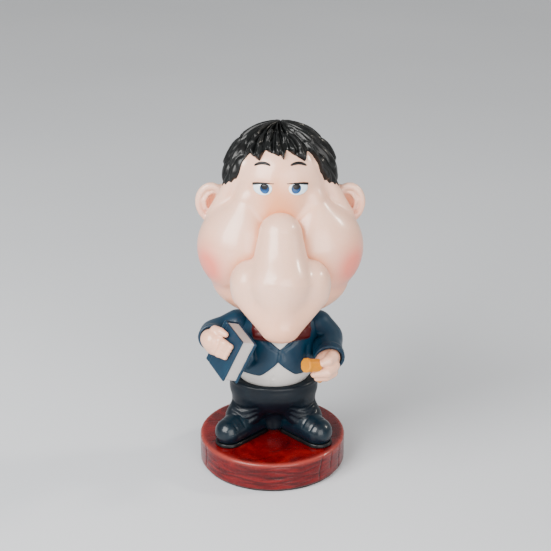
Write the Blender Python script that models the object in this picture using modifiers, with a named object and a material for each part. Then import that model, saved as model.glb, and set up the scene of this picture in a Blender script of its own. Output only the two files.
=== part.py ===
"""Eyeglasses display stand: a big-nosed cast figurine on a round plinth.

The figure faces -Y and stands on a plinth whose underside is centred on the origin. Spectacles
sit astride the root of the nose. All lengths below are in millimetres; MM turns them into metres.
Soft forms are fields of blended balls and limbs, and sculpt() pulls a sphere onto such a field.
"""
import math

import bmesh
import bpy
import numpy as np
from mathutils import Matrix, Vector

MM = 0.001
GAP = 0.3                    # clearance between pieces that touch
OBJECT_NAME = "eyeglasses_display_stand"

# Plinth
BASE_RADIUS = 30.0
BASE_TOP = 12.6
BASE_BEVEL = 0.6
PAD_RADIUS = 29.0
PAD_THICKNESS = 0.8

# Stations up the figure
SOLE_THICKNESS = 1.2
WAIST = 38.2
HEM = 45.0                   # lower edge of the jacket's fronts
BUTTON = 54.0                # where the jacket's fronts meet
NECK = 68.0
HEAD_X = 3.2                 # the head leans to the figure's left
BODY_X = 0.6
CHEST_X = 2.9

# Head, from the middle of the face
CRANIUM = ((0, 3, 121), (20, 20.5, 20.0))
JAW = ((0, -5, 83.1), (27, 16, 15.9))
POUCH = ((13.2, -5.5, 96.2), (19.2, 17.2, 19.6))
POUCH_TOP = (12.2, -9.6, 117.0)
TEMPLE = (14.5, -6.0, 130.0)               # a fold of skin runs from here
EAR_ROOT = (25.0, -2.8, 108.5)             # to here
HAIR_DOME = ((0, 3, 123), (22, 23, 21))
EYE_X = 6.6
EYE_Z = 123.2
EAR = (27.2, 1.5, 113.2)
HAIR_SHELL = 1.8

# Clothes
JACKET_CLOTH = 1.4
ARMS = {"left": {"shoulder": (18.2, 0.5, 59.6), "elbow": (21.6, -2.0, 55.4),
                 "wrist": (22.6, -12.5, 52.8), "radii": (6.5, 6.2, 5.9), "out": 2.5},
        "right": {"shoulder": (-14.0, 0.5, 60.0), "elbow": (-23.2, -2.0, 56.8),
                  "wrist": (-24.2, -10.5, 60.0), "radii": (6.3, 5.4, 4.8), "out": -2.5}}

# What the hands hold
BOOK_CORNER = (-11.4, -28.6, 65.6)         # front top corner of the front cover
BOOK_WIDE = (0.455, -0.865, -0.224)
BOOK_TALL = (0.417, 0.0, 0.909)
BOOK_SIZE = (15.4, 18.6, 7.2)              # width, height, thickness
COVER = 1.0
GAVEL = (15.5, -27.0, 55.0)
GAVEL_AXIS = (-0.78, -0.55, 0.28)
GAVEL_HANDLE = (-0.23, -0.16, -0.96)       # direction, square to the head

COLOURS = {
    "skin": ((0.86, 0.62, 0.50), 0.25),
    "hair": ((0.010, 0.011, 0.013), 0.18),
    "navy": ((0.016, 0.060, 0.125), 0.30),
    "black_navy": ((0.006, 0.016, 0.030), 0.22),
    "white": ((0.80, 0.78, 0.74), 0.35),
    "wine": ((0.130, 0.012, 0.014), 0.30),
    "red_wood": ((0.150, 0.010, 0.008), 0.22),
    "rubber": ((0.020, 0.020, 0.022), 0.80),
    "yellow": ((0.90, 0.42, 0.010), 0.30),
    "iris": ((0.010, 0.060, 0.200), 0.15),
}


def vec(*values):
    return np.array(values, dtype=float)


def mirrored(point, side):
    """The point of a paired piece: side is +1 on the figure's left (+X), -1 on its right."""
    return (HEAD_X + side * point[0], point[1], point[2])


# Fields: negative inside, roughly millimetres outside ------------------------------------------

def ball(centre, radii):
    centre, radii = vec(*centre), vec(*np.broadcast_to(radii, 3))

    def field(points):
        scaled = (points - centre) / radii
        reach = np.linalg.norm(scaled, axis=-1)
        slope = np.linalg.norm(scaled / radii, axis=-1)
        return reach * (reach - 1) / np.maximum(slope, 1e-9)
    return field


def limb(start, end, start_radius, end_radius):
    start, end = vec(*start), vec(*end)
    axis = end - start

    def field(points):
        along = np.clip((points - start) @ axis / (axis @ axis), 0, 1)
        nearest = start + along[..., None] * axis
        radius = start_radius + along * (end_radius - start_radius)
        return np.linalg.norm(points - nearest, axis=-1) - radius
    return field


def blend(width, *fields):
    """Smooth union: neighbouring forms melt together over about the given width."""
    def field(points):
        total = fields[0](points)
        for other in fields[1:]:
            value = other(points)
            share = np.clip(0.5 + 0.5 * (total - value) / width, 0, 1)
            total = total * (1 - share) + value * share - width * share * (1 - share)
        return total
    return field


def grown(field, amount):
    return lambda points: field(points) - amount


def clear_of(field, *neighbours, gap=GAP + 0.05):
    """The field cut back so that it stays the gap away from its neighbours' fields."""
    def trimmed(points):
        total = field(points)
        for neighbour in neighbours:
            total = np.maximum(total, gap - neighbour(points))
        return total
    return trimmed


def box(frame, low, high):
    """A block between two corners of a frame (a 4x4 matrix in millimetres)."""
    inverse = np.array(frame.inverted())
    middle, half = (vec(*low) + vec(*high)) / 2, (vec(*high) - vec(*low)) / 2

    def field(points):
        local = points @ inverse[:3, :3].T + inverse[:3, 3]
        return np.max(np.abs(local - middle) - half, axis=-1)
    return field


def above(field, height):
    return lambda points: np.maximum(field(points), height - points[..., 2])


def below(field, height):
    return lambda points: np.maximum(field(points), points[..., 2] - height)


def reach_along(field, origins, directions, furthest=60):
    """Distance from each origin, inside the field, to its first surface along the direction."""
    steps = np.linspace(0, furthest, 480)
    values = field(origins[:, None, :] + steps[None, :, None] * directions[:, None, :])
    first = np.maximum(1, np.argmax(values >= 0, axis=1))
    low, high = steps[first - 1], steps[first]
    for _ in range(20):
        middle = (low + high) / 2
        inside = field(origins + middle[:, None] * directions) < 0
        low, high = np.where(inside, middle, low), np.where(inside, high, middle)
    return low


def front_of(field, x, z):
    """The y of the field's front (-Y) surface at the given x and z."""
    start = vec(x, 0, z)[None, :]
    return -float(reach_along(field, start, vec(0, -1, 0)[None, :])[0])


# Objects ------------------------------------------------------------------------------------

def material(name):
    found = bpy.data.materials.get(name)
    if found:
        return found
    colour, roughness = COLOURS[name]
    made = bpy.data.materials.new(name)
    made.use_nodes = True
    shader = made.node_tree.nodes["Principled BSDF"]
    shader.inputs["Base Color"].default_value = (*colour, 1)
    shader.inputs["Roughness"].default_value = roughness
    shader.inputs["Metallic"].default_value = 0
    made.diffuse_color = (*colour, 1)
    return made


def add(name, mesh, colour):
    """A part: its mesh, its material and its place in the object's collection."""
    piece = bpy.data.objects.new(name, mesh)
    mesh.materials.append(material(colour))
    mesh.shade_smooth()
    mesh.set_sharp_from_angle(angle=math.radians(40))
    bpy.data.collections[OBJECT_NAME].objects.link(piece)
    return piece


def mesh_from(name, form):
    mesh = bpy.data.meshes.new(name)
    form.to_mesh(mesh)
    form.free()
    return mesh


def pulled_sphere(name, field, centre, segments, rings, stretch=(1, 1, 1)):
    """A sphere whose points are pulled along their own rays onto the field's surface."""
    form = bmesh.new()
    bmesh.ops.create_uvsphere(form, u_segments=segments, v_segments=rings, radius=1)
    rays = np.array([vert.co[:] for vert in form.verts]) * stretch
    rays /= np.linalg.norm(rays, axis=1)[:, None]
    origins = np.broadcast_to(vec(*centre), rays.shape)
    places = origins + rays * reach_along(field, origins, rays)[:, None]
    for vert, place in zip(form.verts, places):
        vert.co = Vector(place) * MM
    return mesh_from(name, form)


def sculpt(name, field, centre, colour, segments=24, rings=16, stretch=(1, 1, 1)):
    return add(name, pulled_sphere(name, field, centre, segments, rings, stretch), colour)


def turned(name, profile, colour, segments=72):
    """A closed round piece from (radius, z) points down its outer side."""
    form = bmesh.new()
    verts = [form.verts.new((radius * MM, 0, z * MM)) for radius, z in profile]
    for first, second in zip(verts, verts[1:]):
        form.edges.new((first, second))
    piece = add(name, mesh_from(name, form), colour)
    screw = piece.modifiers.new("turn", "SCREW")
    screw.steps = screw.render_steps = segments
    screw.use_merge_vertices = True
    screw.merge_threshold = 0.00001
    return piece


def block(name, frame, low, high, colour, bevel=0.0):
    """A box between two corners of a frame (a 4x4 matrix in millimetres)."""
    form = bmesh.new()
    bmesh.ops.create_cube(form, size=1)
    low, high = Vector(low), Vector(high)
    for vert in form.verts:
        corner = Vector(low[i] + (vert.co[i] + 0.5) * (high[i] - low[i]) for i in range(3))
        vert.co = (frame @ corner) * MM
    bmesh.ops.recalc_face_normals(form, faces=form.faces)
    piece = add(name, mesh_from(name, form), colour)
    if bevel:
        edge = piece.modifiers.new("edges", "BEVEL")
        edge.width = bevel * MM
        edge.segments = 2
    return piece


def cord(name, points, radius, colour):
    """A thin closed tube through the points, with rounded thinner ends."""
    curve = bpy.data.curves.new(name, "CURVE")
    curve.dimensions = "3D"
    curve.bevel_depth = radius * MM
    curve.bevel_resolution = 2
    curve.use_fill_caps = True
    spline = curve.splines.new("POLY")
    spline.points.add(len(points) - 1)
    for index, (knot, point) in enumerate(zip(spline.points, points)):
        knot.co = (*(Vector(point) * MM), 1)
        knot.radius = 0.45 if index in (0, len(points) - 1) else 1.0
    piece = bpy.data.objects.new(name, curve)
    curve.materials.append(material(colour))
    bpy.data.collections[OBJECT_NAME].objects.link(piece)
    return piece


def cutter(name, mesh):
    tool = bpy.data.objects.new(name, mesh)
    tool.hide_render = True
    tool.display_type = "WIRE"
    bpy.data.collections["cutters"].objects.link(tool)
    return tool


def cutter_from(name, field, centre, segments, rings, stretch=(1, 1, 1)):
    return cutter(name, pulled_sphere(name, field, centre, segments, rings, stretch))


def cut(piece, tool):
    knife = piece.modifiers.new("cut", "BOOLEAN")
    knife.operation = "DIFFERENCE"
    knife.solver = "EXACT"
    knife.object = tool


def prism(name, outline, near, far):
    """A cutter with a flat outline in X and Z, run along Y from near to far."""
    form = bmesh.new()
    face = form.faces.new([form.verts.new(Vector((x, near, z)) * MM) for x, z in outline])
    extruded = bmesh.ops.extrude_face_region(form, geom=[face])
    moved = [item for item in extruded["geom"] if isinstance(item, bmesh.types.BMVert)]
    bmesh.ops.translate(form, verts=moved, vec=Vector((0, far - near, 0)) * MM)
    bmesh.ops.recalc_face_normals(form, faces=form.faces)
    return cutter(name, mesh_from(name, form))


# Plinth and legs ------------------------------------------------------------------------------

def make_base():
    low = PAD_THICKNESS + GAP
    bevel = BASE_BEVEL
    turned("base_disc", [(0, BASE_TOP), (BASE_RADIUS - 2 * bevel, BASE_TOP),
                         (BASE_RADIUS - bevel * 0.3, BASE_TOP - bevel * 0.3),
                         (BASE_RADIUS, BASE_TOP - 2 * bevel), (BASE_RADIUS, low + bevel),
                         (BASE_RADIUS - bevel, low), (0, low)], "red_wood")
    turned("base_pad", [(0, PAD_THICKNESS), (PAD_RADIUS, PAD_THICKNESS), (PAD_RADIUS, 0),
                        (0, 0)], "rubber")


def beside(side, x, y, z):
    """A point beside the figure's middle: side is +1 on its left, -1 on its right."""
    return (BODY_X + side * x, y, z)


def trouser_field():
    hips = ball((BODY_X, -0.5, 33.9), (18.1, 13.6, 12))
    seat = ball((BODY_X, 1.5, 23.5), (7.0, 5.5, 9.5))
    legs = []
    for side in (-1, 1):
        legs.append(limb(beside(side, 6.6, -1, 30), beside(side, 13.0, -4.4, 20.8), 8.1, 6.9))
        legs.append(limb(beside(side, 5.2, 1.5, 29), beside(side, 7.4, 2.4, 19.0), 7.6, 6.4))
    return blend(2.6, hips, *legs, seat)


def make_legs():
    floor = BASE_TOP + GAP
    sole_top = floor + SOLE_THICKNESS
    trousers = below(above(trouser_field(), sole_top + GAP), WAIST)
    sculpt("trousers", trousers, (BODY_X, 0, 27), "black_navy", 28, 18)
    for side, label in ((1, "left"), (-1, "right")):
        heel, toe = beside(side, 7.6, -0.4, 17.6), beside(side, 18.2, -11.3, 17.5)
        instep = limb(beside(side, 11.5, -4.0, 21.8), beside(side, 15.0, -7.9, 19.4), 5.0, 4.6)
        upper = blend(3.0, limb(heel, toe, 5.7, 5.75), instep)
        shoe = clear_of(above(upper, sole_top + GAP), trouser_field())
        sculpt("shoe_" + label, shoe, beside(side, 18.2, -12.3, 17.3), "black_navy", 20, 14)
        outline = limb((*heel[:2], floor), (*toe[:2], floor), 5.5, 5.7)
        middle = beside(side, 12.9, -5.8, floor + SOLE_THICKNESS / 2)
        sculpt("sole_" + label, below(above(outline, floor), sole_top), middle, "rubber", 24, 6)


# Head -----------------------------------------------------------------------------------------

def head_field():
    skull = blend(4.0, ball(mirrored(CRANIUM[0], 1), CRANIUM[1]),
                  ball((HEAD_X, -1, 108), (18, 17, 22)), ball((HEAD_X, 4, 98), (22, 17, 20)))
    cheeks, folds = [], []
    for side in (-1, 1):
        low = mirrored((13.4, -8.5, 101), side)
        cheeks.append(blend(5.0, ball(mirrored(POUCH[0], side), POUCH[1]),
                            limb(mirrored(POUCH_TOP, side), low, 5.2, 12.5)))
        folds.append(limb(mirrored(TEMPLE, side), mirrored(EAR_ROOT, side), 2.4, 3.5))
    jowls = blend(1.4, ball(mirrored(JAW[0], 1), JAW[1]), *cheeks)
    return blend(1.8, blend(2.2, skull, *folds), jowls)


def nose_field():
    ridge = limb((HEAD_X, -22.6, 107.0), (HEAD_X, -29.4, 91.4), 8.3, 12.0)
    tip = limb((HEAD_X, -30.6, 89.0), (HEAD_X, -36.8, 75.6), 12.2, 5.6)
    wings, flanks = [], []
    for side in (-1, 1):
        wings.append(ball(mirrored((11.1, -26.6, 89.4), side), (8.0, 8.8, 8.7)))
        flanks.append(limb(mirrored((11.6, -28, 85.1), side), mirrored((2.5, -36.4, 75.2), side),
                           6.4, 5.2))
    return blend(2.2, blend(3.0, ridge, tip, *flanks), *wings)


def make_head(head, nose):
    sculpt("head", head, (HEAD_X, 0, 102), "skin", 44, 30)
    sculpt("nose", clear_of(nose, head, gap=2.5 * GAP), (HEAD_X, -28, 92), "skin", 24, 18)
    for side, label in ((1, "left"), (-1, "right")):
        x, y, z = mirrored(EAR, side)
        shell = blend(1.5, ball((x, y, z), (6.3, 2.6, 7.3)),
                      ball((x - side * 4.5, y + 0.5, z - 0.5), (5.0, 3.4, 6.2)))
        bowl = ball((x - side * 0.6, y - 3.6, z + 0.4), 3.6)
        ear = clear_of(clear_of(shell, head, gap=2.5 * GAP), grown(bowl, -GAP))
        sculpt("ear_" + label, ear, (x, y + 1.2, z), "skin", 18, 12)


def hairline(angle):
    """Polar angle of the hair's edge from the crown: 0 faces front, pi faces back."""
    turn = abs(math.remainder(angle, math.tau))
    fringe = math.radians(45 + 10 * abs(math.sin(angle * 5.5)))
    temple, nape = math.radians(84), math.radians(128)
    if turn < 0.78:
        return fringe
    if turn < 0.98:
        return fringe + (temple - fringe) * (turn - 0.78) / 0.20
    if turn < 1.85:
        return temple
    return temple + (nape - temple) * min(1, (turn - 1.85) / 0.30)


def make_hair(head):
    """A shell: the dome's skin down to the hairline, thickened inwards."""
    dome = blend(4.0, ball(mirrored(HAIR_DOME[0], 1), HAIR_DOME[1]),
                 ball((HEAD_X, 8, 113), (20.5, 17.5, 15)))
    centre = vec(HEAD_X, 4, 120)
    form = bmesh.new()
    rings = 10
    bmesh.ops.create_uvsphere(form, u_segments=36, v_segments=rings, radius=1)
    bottom = min(form.verts, key=lambda vert: vert.co.z)
    bmesh.ops.delete(form, geom=[bottom], context="VERTS")
    rays = []
    for vert in form.verts:
        angle = math.atan2(vert.co.x, -vert.co.y)
        share = math.acos(max(-1, min(1, vert.co.z))) / (math.pi * (rings - 1) / rings)
        polar = share * hairline(angle)
        rays.append((math.sin(polar) * math.sin(angle), -math.sin(polar) * math.cos(angle),
                     math.cos(polar)))
    rays = np.array(rays)
    origins = np.broadcast_to(centre, rays.shape)
    reach = reach_along(dome, origins, rays)
    inner = reach_along(head, origins, rays)
    places = origins + rays * np.maximum(reach, inner + HAIR_SHELL + 4 * GAP)[:, None]
    for vert, place in zip(form.verts, places):
        vert.co = Vector(place) * MM
    hair = add("hair", mesh_from("hair", form), "hair")
    shell = hair.modifiers.new("shell", "SOLIDIFY")
    shell.thickness = HAIR_SHELL * MM
    shell.offset = -1


def make_features(head):
    for side, label in ((1, "left"), (-1, "right")):
        x = HEAD_X + side * EYE_X
        y = front_of(head, x, EYE_Z)
        eye = ball((x, y + 0.6, EYE_Z), (3.7, 2.2, 2.7))
        sculpt("eye_" + label, clear_of(eye, head), (x, y - 0.9, EYE_Z), "white", 16, 10)
        inner = x - side * 0.7
        iris = ball((inner, y - 1.6, EYE_Z + 0.2), (2.1, 1.4, 2.0))
        sculpt("iris_" + label, clear_of(iris, eye), (inner, y - 2.4, EYE_Z + 0.2), "iris", 14, 8)
        lid, brow = [], []
        for t in np.linspace(-1, 1, 7):
            lid_x, lid_z = x + t * 3.8, EYE_Z + 3.3 - 1.0 * t * t
            lid.append((lid_x, front_of(head, lid_x, lid_z) - GAP - 0.8, lid_z))
            brow_x, brow_z = x + side * 0.5 + t * 3.4, EYE_Z + 9.3 - 0.9 * t * t
            brow.append((brow_x, front_of(head, brow_x, brow_z) - GAP - 0.75, brow_z))
        cord("lid_" + label, lid, 0.4, "hair")
        cord("eyebrow_" + label, brow, 0.55, "hair")


# Clothes --------------------------------------------------------------------------------------

def torso_field():
    belly = ball((BODY_X, -1, 47), (18.2, 14.8, 15))
    chest = ball((CHEST_X, 0, 57.5), (16.6, 13.0, 12.4))
    return blend(5.0, belly, chest)


def make_torso(torso, head):
    centre = (1.5, 0, 52)
    shirt = below(above(grown(torso, -JACKET_CLOTH - GAP), WAIST + GAP), NECK + 1.5)
    sculpt("shirt", clear_of(shirt, head), centre, "white", 24, 16)
    jacket_form = clear_of(below(above(torso, WAIST + 1.8), NECK + 1.0), head)
    jacket = sculpt("jacket", jacket_form, centre, "navy", 28, 16)
    neck = [(CHEST_X - 11, 80), (CHEST_X - 10, 67), (CHEST_X, BUTTON + 2), (CHEST_X + 10, 67),
            (CHEST_X + 11, 80)]
    fronts = [(-30, 30), (-30, HEM + 1), (-9, HEM), (-5, HEM - 0.5), (CHEST_X - 0.5, BUTTON - 2.5),
              (8.5, HEM - 0.5), (13, HEM), (30, HEM + 1.5), (30, 30)]
    cut(jacket, prism("neck_opening", neck, -40, 0.4))
    cut(jacket, prism("front_opening", fronts, -40, 1))
    cut(jacket, cutter_from("jacket_lining", grown(torso, -JACKET_CLOTH), centre, 24, 18))


def bow_tie_field(torso):
    """Two wings that flare out over the chest from a knot."""
    knot = (CHEST_X + 0.5, front_of(torso, CHEST_X + 0.5, 61.8) - 2.2, 61.8)
    wings = []
    for side in (-1, 1):
        x = knot[0] + side * 9.6
        tip = (x, front_of(torso, x, 64.4) - 1.6, 64.4)
        wings.append(limb((knot[0] + side * 2, knot[1], 62.2), tip, 1.5, 2.9))
    return blend(1.0, ball(knot, (2.6, 2.0, 2.4)), *wings), knot


def sleeve_field(arm):
    upper, middle, lower = arm["radii"]
    return blend(3.0, limb(arm["shoulder"], arm["elbow"], upper, middle),
                 limb(arm["elbow"], arm["wrist"], middle, lower))


# What the hands hold ---------------------------------------------------------------------------

def book_frame():
    """Axes along the book's width, height and thickness, from its front cover's top corner."""
    wide = Vector(BOOK_WIDE).normalized()
    tall = Vector(BOOK_TALL)
    tall = (tall - wide * tall.dot(wide)).normalized()
    turn = Matrix((wide, tall, -wide.cross(tall))).transposed().to_4x4()
    return Matrix.Translation(BOOK_CORNER) @ turn


def make_book():
    frame = book_frame()
    width, height, thickness = BOOK_SIZE
    block("book_front_cover", frame, (-width, -height, 0), (0, 0, COVER), "navy", 0.25)
    block("book_pages", frame, (-width + 1.0, -height + 0.6, COVER + GAP),
          (-0.15, -0.2, thickness - COVER - GAP), "white", 0.2)
    block("book_back_cover", frame, (-width, -height, thickness - COVER), (0.5, 0, thickness),
          "navy", 0.25)
    return box(frame, (-width, -height, 0), (0.5, 0, thickness))


def make_gavel():
    """A barrel head with an end band, and a short handle square to it."""
    middle, axis = vec(*GAVEL), vec(*GAVEL_AXIS) / np.linalg.norm(GAVEL_AXIS)
    sculpt("gavel_head", barrel(middle, axis, -3.1, 1.8, 2.55), middle - axis * 0.6, "yellow", 12, 10)
    sculpt("gavel_band", barrel(middle, axis, 1.8 + GAP, 3.4, 2.8), middle + axis * 2.7, "yellow",
           12, 8)
    start, end = middle + vec(*GAVEL_HANDLE) * 3.9, middle + vec(*GAVEL_HANDLE) * 6.6
    handle = limb(start, end, 0.9, 0.9)
    sculpt("gavel_handle", handle, (start + end) / 2, "yellow", 10, 10, stretch=(1, 1, 2))
    head = barrel(middle, axis, -3.1, 3.4, 2.8)
    return lambda points: np.minimum(head(points), handle(points))


def barrel(middle, axis, low, high, radius):
    """A short cylinder along the axis between two stations."""
    def field(points):
        along = (points - middle) @ axis
        across = np.linalg.norm(points - middle - along[..., None] * axis, axis=-1)
        return np.maximum(across - radius, np.maximum(low - along, along - high))
    return field


def left_hand_field():
    """A fist: three wrapped fingers and the thumb laid over the top."""
    fist = blend(1.5, ball((21.2, -20.8, 52.4), (4.6, 5.2, 5.0)),
                 limb((21.6, -19.0, 52.4), ARMS["left"]["wrist"], 4.4, 4.4))
    thumb = limb((22.6, -23.4, 56.0), (19.4, -26.2, 55.4), 2.3, 1.5)
    index = limb((22.6, -24.4, 52.2), (16.4, -26.9, 51.2), 2.4, 1.5)
    middle = limb((22.2, -23.8, 49.6), (17.6, -25.8, 48.9), 2.1, 1.3)
    little = limb((21.2, -22.4, 48.1), (18.2, -23.6, 47.7), 1.7, 1.1)
    return blend(0.7, fist, thumb, index, middle, little)


def right_hand_field():
    """Palm on the front cover, fingers together and pointing forwards, thumb on top."""
    frame = book_frame()

    def at(wide, tall, out):
        return frame @ Vector((wide, tall, -out))

    fingers = [limb(at(-12.0, -7.0 - 1.75 * row, 2.0), at(-3.5 - 0.1 * row, -4.9 - 1.65 * row, 1.4),
                    1.65, 1.15) for row in range(4)]
    thumb = limb(at(-14.0, -4.6, 2.8), at(-9.2, -3.0, 1.6), 1.8, 1.1)
    palm = ball(at(-13.4, -9.1, 2.8), (4.1, 4.2, 4.6))
    wrist = limb(at(-15.5, -9.2, 3.0), ARMS["right"]["wrist"], 3.5, 3.4)
    return blend(0.8, blend(1.4, blend(0.45, *fingers), palm, wrist), thumb)


def build():
    for piece in list(bpy.data.objects):
        bpy.data.objects.remove(piece, do_unlink=True)
    for name in (OBJECT_NAME, "cutters"):
        bpy.context.scene.collection.children.link(bpy.data.collections.new(name))
    head, nose, torso = head_field(), nose_field(), torso_field()
    make_base()
    make_legs()
    make_head(head, nose)
    make_hair(head)
    make_features(head)
    make_torso(torso, head)
    tie, knot = bow_tie_field(torso)
    sculpt("bow_tie", clear_of(tie, torso, head, nose), knot, "wine", 10, 16)
    book = make_book()
    cover_side = box(book_frame(), (-60, -60, 0), (60, 60, 60))
    hands = {"left": (left_hand_field(), make_gavel(), (20.4, -22.4, 52.2)),
             "right": (right_hand_field(), cover_side, book_frame() @ Vector((-11.6, -8.4, -2.4)))}
    for label, arm in ARMS.items():
        sleeve = clear_of(sleeve_field(arm), torso, book)
        middle = (vec(*arm["shoulder"]) + vec(*arm["elbow"])) / 2 + vec(arm["out"], -1, 0)
        sculpt("sleeve_" + label, sleeve, middle, "navy", 20, 14)
        form, held, centre = hands[label]
        sculpt("hand_" + label, clear_of(form, sleeve_field(arm), held), centre, "skin", 28, 20)


build()
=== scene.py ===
"""Looks of the eyeglasses display stand: a glossy hand-painted resin figurine on a round plinth.

Most forms are cast from fields: balls and limbs are melted together, carved and trimmed, and the
surface becomes a fine mesh. Lengths are millimetres; MM turns them into metres. The figure faces
-Y and its left side is +X.
"""
import math

import bpy
import numpy as np
import openvdb
from mathutils import Matrix, Vector


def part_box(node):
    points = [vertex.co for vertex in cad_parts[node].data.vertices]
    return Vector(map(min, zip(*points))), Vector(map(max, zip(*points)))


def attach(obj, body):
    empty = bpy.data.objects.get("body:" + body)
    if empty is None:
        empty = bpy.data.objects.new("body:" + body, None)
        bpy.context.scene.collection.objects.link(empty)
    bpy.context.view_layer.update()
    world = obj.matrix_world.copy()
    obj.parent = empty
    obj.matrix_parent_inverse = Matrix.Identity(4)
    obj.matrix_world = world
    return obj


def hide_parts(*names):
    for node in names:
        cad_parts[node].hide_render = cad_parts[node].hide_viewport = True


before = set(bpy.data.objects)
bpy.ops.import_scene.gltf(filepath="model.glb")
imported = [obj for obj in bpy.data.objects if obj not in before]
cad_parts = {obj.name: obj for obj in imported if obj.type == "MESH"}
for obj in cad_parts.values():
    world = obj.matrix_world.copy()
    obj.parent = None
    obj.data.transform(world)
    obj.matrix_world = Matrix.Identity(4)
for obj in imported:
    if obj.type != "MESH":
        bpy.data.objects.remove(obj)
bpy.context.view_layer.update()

MM = 0.001


def node_box(node):
    """A node's lowest and highest corners in millimetres."""
    low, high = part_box(node)
    return np.array(low) / MM, np.array(high) / MM


def node_middle(node):
    return sum(node_box(node)) / 2


# Places read from the frame ----------------------------------------------------------------------

DISC_LOW, DISC_HIGH = node_box("base_disc")
PAD_LOW, PAD_HIGH = node_box("base_pad")
DISC_RADIUS = (DISC_HIGH[0] - DISC_LOW[0]) / 2
FLOOR = DISC_HIGH[2]
SOLE_TOP = node_box("sole_left")[1][2]
HEAD_LOW, HEAD_HIGH = node_box("head")
NOSE_LOW, NOSE_HIGH = node_box("nose")
HEAD_X = (node_middle("eye_left")[0] + node_middle("eye_right")[0]) / 2
BODY_X = node_middle("trousers")[0]
WAIST = node_box("trousers")[1][2]
CHEST_X = node_middle("bow_tie")[0]


def vec(*values):
    return np.array(values, dtype=np.float32)


# Fields: negative inside, roughly millimetres outside ---------------------------------------------

def ball(centre, radii):
    centre, radii = vec(*centre), vec(*np.broadcast_to(radii, 3))

    def field(points):
        scaled = (points - centre) / radii
        reach = np.linalg.norm(scaled, axis=-1)
        slope = np.linalg.norm(scaled / radii, axis=-1)
        return reach * (reach - 1) / np.maximum(slope, 1e-6)
    return field


def limb(start, end, start_radius, end_radius=None):
    start, end = vec(*start), vec(*end)
    axis = end - start
    change = (start_radius if end_radius is None else end_radius) - start_radius

    def field(points):
        along = np.clip((points - start) @ axis / (axis @ axis), 0, 1)
        away = points - start - along[..., None] * axis
        return np.linalg.norm(away, axis=-1) - start_radius - along * change
    return field


def chain(points, radii):
    """Limbs strung through the points."""
    radii = np.broadcast_to(radii, len(points))
    return union(*[limb(*pair) for pair in zip(points, points[1:], radii, radii[1:])])


def slab(normal, offset):
    """A half space: inside where normal . p < offset."""
    normal = vec(*normal) / np.linalg.norm(normal)
    return lambda points: points @ normal - offset


def box(turn, low, high, rounding=0.2):
    """A rounded block between two corners of a frame (4x4, millimetres)."""
    inverse = np.array(turn.inverted(), dtype=np.float32)
    low, high = vec(*low), vec(*high)
    middle, half = (low + high) / 2, (high - low) / 2 - rounding

    def field(points):
        away = np.abs(points @ inverse[:3, :3].T + inverse[:3, 3] - middle) - half
        outside = np.linalg.norm(np.maximum(away, 0), axis=-1)
        return outside + np.minimum(np.max(away, axis=-1), 0) - rounding
    return field


def union(*fields):
    return lambda points: np.min([field(points) for field in fields], axis=0)


def melt(width, *fields):
    """Smooth union over about the given width."""
    def field(points):
        total = fields[0](points)
        for other in fields[1:]:
            value = other(points)
            share = np.clip(0.5 + 0.5 * (total - value) / width, 0, 1)
            total = total + (value - total) * share - width * share * (1 - share)
        return total
    return field


def negative(field):
    return lambda points: -field(points)


def keep(width, *fields):
    """Smooth intersection."""
    return negative(melt(width, *[negative(field) for field in fields]))


def carve(width, field, *tools):
    """The field with the tools smoothly taken away."""
    return keep(width, field, *[negative(tool) for tool in tools])


def grown(field, amount):
    return lambda points: field(points) - amount


def ripple(field, depth):
    """The field pushed in by depth(points)."""
    return lambda points: field(points) + depth(points)


def surface_y(field, x, z):
    """The y of a field's front (-Y) surface over arrays of x and z."""
    x, z = np.broadcast_arrays(vec(*np.ravel(x)), vec(*np.ravel(z)))
    far = np.zeros(x.shape, dtype=np.float32)
    for y in np.linspace(0, -50, 101):
        inside = field(np.stack([x, np.full_like(x, y), z], -1)) < 0
        far = np.where(inside, y, far)
    near = far - 0.5
    for _ in range(12):
        middle = (near + far) / 2
        inside = field(np.stack([x, middle, z], -1)) < 0
        far, near = np.where(inside, middle, far), np.where(inside, near, middle)
    return far


def reach_along(field, centre, rays):
    """Distance from the centre to a star-shaped field's surface along each ray."""
    low, high = np.zeros(len(rays), dtype=np.float32), np.full(len(rays), 60, dtype=np.float32)
    for _ in range(18):
        middle = (low + high) / 2
        inside = field(centre + rays * middle[:, None]) < 0
        low, high = np.where(inside, middle, low), np.where(inside, high, middle)
    return low


# Meshes ------------------------------------------------------------------------------------------

def finish_piece(name, verts, faces, paint, slot, *nodes):
    mesh = bpy.data.meshes.new(name)
    mesh.from_pydata(np.asarray(verts) * MM, [], faces)
    mesh.validate()
    mesh.shade_smooth()
    mesh.materials.append(paint)
    piece = bpy.data.objects.new(name, mesh)
    bpy.context.scene.collection.objects.link(piece)
    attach(piece, "root")
    if nodes:
        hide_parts(*nodes)
    return piece


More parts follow.
